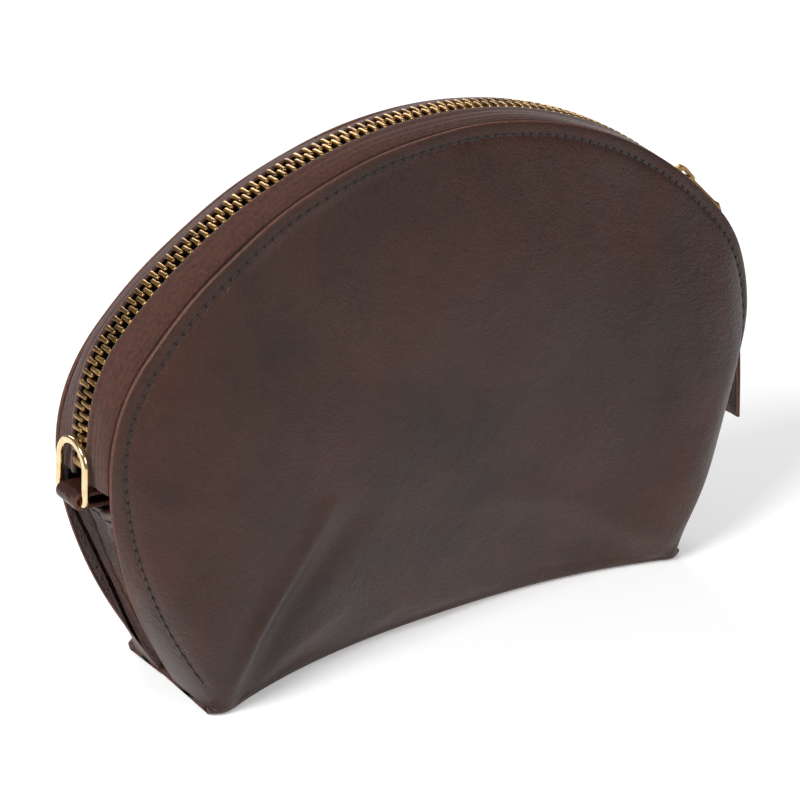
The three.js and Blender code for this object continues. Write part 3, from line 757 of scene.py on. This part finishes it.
def make_tape(name, side, node):
    s = np.linspace(-TAPE_END, TAPE_END, 1100)[:, None]
    w = np.linspace(0, 1, 52)[None, :]
    depth = rim(s)[-1]
    rise = chain_rise(s)
    flange_y = depth - LEATHER - 0.15
    span = flange_y - TAPE_INNER_Y
    slope = np.clip(w / TAPE_FACE, 0, 1)
    y = TAPE_INNER_Y + span * np.sin(slope * np.pi / 2) ** 0.9
    flange = np.clip((w - TAPE_FACE) / (1 - TAPE_FACE), 0, 1)
    drop = rise * smooth(slope) ** 1.2 + flange * TAPE_FLANGE
    run = span * slope
    stripe = run / TAPE_STRIPE
    lean = 1 - 2 * (np.floor(stripe) % 2)
    share = stripe % 1
    ribs = np.abs(np.sin(np.pi * (s + lean * share * TAPE_STRIPE) / TAPE_RIB + lean * np.pi / 4))
    furrow = np.exp(-(((np.abs(share - 0.5) - 0.5) / 0.14) ** 2))
    cord = 0.5 * np.exp(-(((run - 0.3) / 0.7) ** 2))
    relief = 0.3 * ribs * (1 - 0.8 * furrow) + cord
    wave = 0.25 * np.sin(s / 9 + side) * np.sin(np.pi * slope)
    height = relief + wave - drop
    outer = on_chain(s, side * y, height)
    inner = on_chain(s, side * (y - 0.35 * (w > 0.7)), height - TAPE_THICKNESS - relief)
    section = np.concatenate([outer, inner[:, ::-2]], 1)
    points, faces = tube(section)
    make(name, points, faces, [TAPE], "bag", [node])


# Zip teeth: each one is a forged block, narrow at its head and clamped round the cord


def tooth(s, side):
    """One tooth, as rings of points from its underside to its top."""
    plan = [
        (3.85, 0.45),
        (3.7, 0.75),
        (2.6, 0.8),
        (2.1, 0.66),
        (0.7, 0.62),
        (-0.1, 0.74),
        (-0.75, 0.6),
        (-0.95, 0.3),
    ]
    outline = np.array(plan + [(y, -h) for y, h in reversed(plan)])
    y = outline[:, 0]
    along = outline[:, 1] * TOOTH_HALF_LENGTH / 0.74
    levels = [(-1, 0.8), (-0.7, 1), (0.45, 1), (0.85, 0.86), (1, 0.6)]
    rings = []
    for level, share in levels:
        ring_y = side * (TOOTH_MIDDLE_Y + (y - TOOTH_MIDDLE_Y) * mix(share, 1, 0.72))
        hump = 0.14 * np.cos((y - TOOTH_MIDDLE_Y) / 1.6) * (level > 0)
        rings.append(on_chain(s + along * share, ring_y, level * TOOTH_HEIGHT + hump))
    return tube(np.array(rings))


def make_teeth(name, side, shift, node):
    places = np.arange(ROW_START + shift, ROW_END, TOOTH_PITCH)
    points, faces = several([tooth(s, side) for s in places])
    make(name, points, faces, [BRASS], "bag", [node])


for side, label, shift in ((-1, "front", 0), (1, "back", TOOTH_PITCH / 2)):
    make_tape("zip_cloth_" + label, side, "zip_tape_" + label)
    make_teeth("zip_teeth_row_" + label, side, shift, "zip_teeth_" + label)


# Metal pieces whose CAD shape is right: the same shape with its edges rounded


def rounded(node, name, body, finish, width):
    source = frame["nodes"][node].data
    bm = bmesh.new()
    bm.from_mesh(source)
    bmesh.ops.remove_doubles(bm, verts=bm.verts, dist=0.01 * MM)
    flat = math.radians(2)
    bmesh.ops.dissolve_limit(bm, angle_limit=flat, verts=bm.verts, edges=bm.edges)
    mesh = bpy.data.meshes.new(name)
    bm.to_mesh(mesh)
    bm.free()
    mesh.materials.clear()
    mesh.materials.append(finish)
    mesh.polygons.foreach_set("use_smooth", [True] * len(mesh.polygons))
    piece = bpy.data.objects.new(name, mesh)
    bpy.context.scene.collection.objects.link(piece)
    bevel = piece.modifiers.new("edges", "BEVEL")
    bevel.width = width * MM
    bevel.segments = 3
    bevel.limit_method = "ANGLE"
    bevel.angle_limit = math.radians(28)
    bevel.harden_normals = True
    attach(piece, body)
    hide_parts(node)


rounded("slider_body", "slider_metal", "slider", BRASS, 0.25)
rounded("puller_ring", "puller_metal", "puller", BRASS, 0.3)
for stop in ("zip_bottom_stop", "zip_top_stop_front", "zip_top_stop_back"):
    rounded(stop, stop + "_metal", "bag", BRASS, 0.35)


# D-ring: flattened wire swept round its loop


def make_ring():
    half, leg, corner = RING_HALF_WIDTH, RING_LEG, 1.1
    turns = np.linspace(0, np.pi, 40)
    path = [(half * np.cos(a), leg + half * np.sin(a)) for a in turns]
    path += [(-half, z) for z in np.linspace(leg, corner, 12)[1:]]
    path += [
        (-half + corner * (1 - np.cos(a)), corner * (1 - np.sin(a)))
        for a in np.linspace(0, np.pi / 2, 6)[1:]
    ]
    path += [(y, 0) for y in np.linspace(-half + corner, half - corner, 14)[1:]]
    path += [
        (half - corner * (1 - np.sin(a)), corner * (1 - np.cos(a)))
        for a in np.linspace(0, np.pi / 2, 6)[1:]
    ]
    path += [(half, z) for z in np.linspace(corner, leg, 12)[1:-1]]
    path = np.array(path)
    along = np.roll(path, -1, 0) - np.roll(path, 1, 0)
    along /= np.linalg.norm(along, axis=1)[:, None]
    outward = np.stack([along[:, 1], -along[:, 0]], 1)
    rows = 20
    turn = np.linspace(0, 2 * np.pi, rows, endpoint=False)
    power = 0.62
    across = np.sign(np.cos(turn)) * np.abs(np.cos(turn)) ** power * RING_WIRE_HALF
    thick = np.sign(np.sin(turn)) * np.abs(np.sin(turn)) ** power * RING_THICK_HALF
    rings = []
    for (y, z), (oy, oz) in zip(path, outward):
        rings.append(np.stack([thick, y + oy * across, z + oz * across], 1))
    points = np.array(rings).reshape(-1, 3)
    lean = np.array(
        [
            [math.cos(RING_LEAN), 0, math.sin(RING_LEAN)],
            [0, 1, 0],
            [-math.sin(RING_LEAN), 0, math.cos(RING_LEAN)],
        ]
    )
    points = points @ lean.T + np.array([RING_AXIS_X, 0, RING_AXIS_Z])
    count = len(rings)
    faces = [
        (
            c * rows + r,
            (c + 1) % count * rows + r,
            (c + 1) % count * rows + (r + 1) % rows,
            c * rows + (r + 1) % rows,
        )
        for c in range(count)
        for r in range(rows)
    ]
    make("d_ring_metal", points, faces, [GOLD], "ring", ["d_ring"])


make_ring()


# Leather folded round a bar: the D-ring's tab and the pull strap


def ribbon(path, width, thickness):
    """A strip of leather along a path of (x, z) points, with soft edges."""
    path = np.asarray(path, float)
    step = np.gradient(path, axis=0)
    step /= np.linalg.norm(step, axis=1)[:, None]
    normal = np.stack([-step[:, 1], step[:, 0]], 1)
    half = width / 2
    edge = [(-1, -0.2), (-1, 0.25), (-0.97, 0.47), (-0.9, 0.5)]
    inner = [(x, 0.5) for x in np.linspace(-0.8, 0.8, 13)]
    top = edge + inner + [(-x, z) for x, z in reversed(edge)]
    section = np.array(top + [(-x, -z) for x, z in top[1:-1]])
    section = section if len(section) % 2 == 0 else section[:-1]
    rings = []
    for i, ((x, z), (nx, nz)) in enumerate(zip(path, normal)):
        y = section[:, 0] * half
        rise = section[:, 1] * thickness + 0.05 * np.sin(y * 1.3 + i * 0.5)
        rings.append(np.stack([x + nx * rise, y, z + nz * rise], 1))
    return tube(np.array(rings)), len(section), len(edge)


def folded(name, outline, width, thickness, body, node):
    (points, faces), rows, edge = ribbon(outline, width, thickness)
    columns = len(outline)
    sides = (columns - 1) * rows
    row = np.arange(sides) % rows
    top_end = 2 * edge + 13 - 1
    soft = (row < 2) | ((row >= top_end - 3) & (row <= top_end)) | (row >= rows - 2)
    marks = np.zeros(len(faces), int)
    marks[:sides] = np.where(soft, 1, 0)
    marks[sides:] = 1
    make(name, points, faces, [TRIM, RAW_EDGE], body, [node], marks)


def bar_loop(middle, radius, start, end, count=26):
    """Points round a bar, from one angle to another, clockwise where end is lower."""
    turn = np.radians(np.linspace(start, end, count))
    return [(middle[0] + radius * np.cos(a), middle[1] + radius * np.sin(a)) for a in turn]


tab_bar = (RING_AXIS_X, RING_AXIS_Z)
tab_radius = 1.25 + TAB_LAYER / 2
tab_x = np.linspace(RING_AXIS_X + TAB_REACH, RING_AXIS_X + 2, 14)
tab_path = list(zip(tab_x, np.linspace(70.3, 71.2, 14)))
tab_path += bar_loop(tab_bar, tab_radius, 78, 282)
tab_path += list(zip(tab_x[::-1], np.linspace(67.4, 66.8, 14)))
folded("d_ring_tab_leather", tab_path, TAB_WIDTH, TAB_LAYER, "bag", "d_ring_tab")

strap_hinge = next(j for j in frame["joints"] if j["name"] == "strap_swing")["pos_m"]
bar = (strap_hinge[0] / MM, strap_hinge[2] / MM)


def strap_line(t):
    """The strap's middle line, from the ring's bar to its end."""
    a, b, c = (1 - t) ** 2, 2 * t * (1 - t), t * t
    x = a * bar[0] + b * STRAP_BEND[0] + c * STRAP_END[0]
    z = a * bar[1] + b * STRAP_BEND[1] + c * STRAP_END[1]
    return x, z


def strap_side(sign, t):
    """One of the strap's two layers, at shares t of the middle line."""
    x, z = strap_line(t)
    ahead_x, ahead_z = strap_line(t + 0.001)
    run = np.hypot(ahead_x - x, ahead_z - z)
    out = sign * mix(1.0, STRAP_LAYER / 2 + 0.02, smooth(t / 0.12))
    return list(zip(x - (ahead_z - z) / run * out, z + (ahead_x - x) / run * out))


heading = math.degrees(math.atan2(STRAP_BEND[1] - bar[1], STRAP_BEND[0] - bar[0]))
loop_radius = 0.75 + STRAP_LAYER / 2
strap_path = strap_side(1, np.linspace(1, 0.05, 46))
strap_path += bar_loop(bar, loop_radius, heading + 62, heading + 298)
strap_path += strap_side(-1, np.linspace(0.05, 0.99, 46))
folded("pull_strap_leather", strap_path, STRAP_WIDTH, STRAP_LAYER, "strap", "pull_strap")

# Studio: pale floor, soft lights and the camera

FLOOR = 2.4


def make_floor():
    mesh = bpy.data.meshes.new("floor")
    half = FLOOR / 2
    corners = [(-half, -half, 0), (half, -half, 0), (half, half, 0), (-half, half, 0)]
    mesh.from_pydata(corners, [], [(0, 1, 2, 3)])
    f = Finish("pale_floor", Base_Color=(0.9, 0.9, 0.9, 1), Roughness=0.8)
    f.shader.inputs["Emission Color"].default_value = (1, 1, 1, 1)
    f.shader.inputs["Emission Strength"].default_value = 0.3
    mesh.materials.append(f.material)
    floor = bpy.data.objects.new("floor", mesh)
    floor.location.z = -0.0002
    bpy.context.scene.collection.objects.link(floor)


def soft_light(name, place, target, size, power):
    data = bpy.data.lights.new(name, "AREA")
    data.shape = "DISK"
    data.size = size
    data.energy = power
    light = bpy.data.objects.new(name, data)
    light.location = place
    light.rotation_euler = (Vector(target) - Vector(place)).to_track_quat("-Z", "Y").to_euler()
    bpy.context.scene.collection.objects.link(light)


make_floor()
world = bpy.data.worlds.new("studio")
world.use_nodes = True
world.node_tree.nodes["Background"].inputs["Color"].default_value = (1, 1, 1, 1)
world.node_tree.nodes["Background"].inputs["Strength"].default_value = 0.22
bpy.context.scene.world = world
aim_point = (0, 0, 0.07)
soft_light("key", (-0.8, -0.25, 0.95), aim_point, 0.45, 12)
soft_light("back", (0.35, 1.0, 0.7), aim_point, 0.7, 7)
soft_light("front", (0.35, -1.25, 0.75), aim_point, 0.5, 3.5)

CAMERA_LENS = 125.48
CAMERA_DISTANCE = 825.16
CAMERA_ROLL = math.radians(2)
AIM_HEIGHT, AIM_RIGHT, AIM_UP = 73.6, 6.51, 4.99
CAMERA_AZIMUTH = math.radians(-36.82)
CAMERA_ELEVATION = math.radians(25.55)
back = Vector(
    (
        math.sin(CAMERA_AZIMUTH) * math.cos(CAMERA_ELEVATION),
        -math.cos(CAMERA_AZIMUTH) * math.cos(CAMERA_ELEVATION),
        math.sin(CAMERA_ELEVATION),
    )
)
level_right = Vector((0, 0, 1)).cross(back).normalized()
level_up = back.cross(level_right)
right = level_right * math.cos(CAMERA_ROLL) + level_up * math.sin(CAMERA_ROLL)
up = level_up * math.cos(CAMERA_ROLL) - level_right * math.sin(CAMERA_ROLL)
target = Vector((0, 0, AIM_HEIGHT)) - AIM_RIGHT * right - AIM_UP * up
place = (target + back * CAMERA_DISTANCE) * MM
camera_data = bpy.data.cameras.new("camera")
camera_data.lens = CAMERA_LENS
camera_data.sensor_width = 36
camera_data.clip_start = 0.02
camera = bpy.data.objects.new("camera", camera_data)
camera.matrix_world = Matrix.Translation(place) @ Matrix((right, up, back)).transposed().to_4x4()
bpy.context.scene.collection.objects.link(camera)
bpy.context.scene.camera = camera
bpy.context.scene.view_settings.view_transform = "Standard"
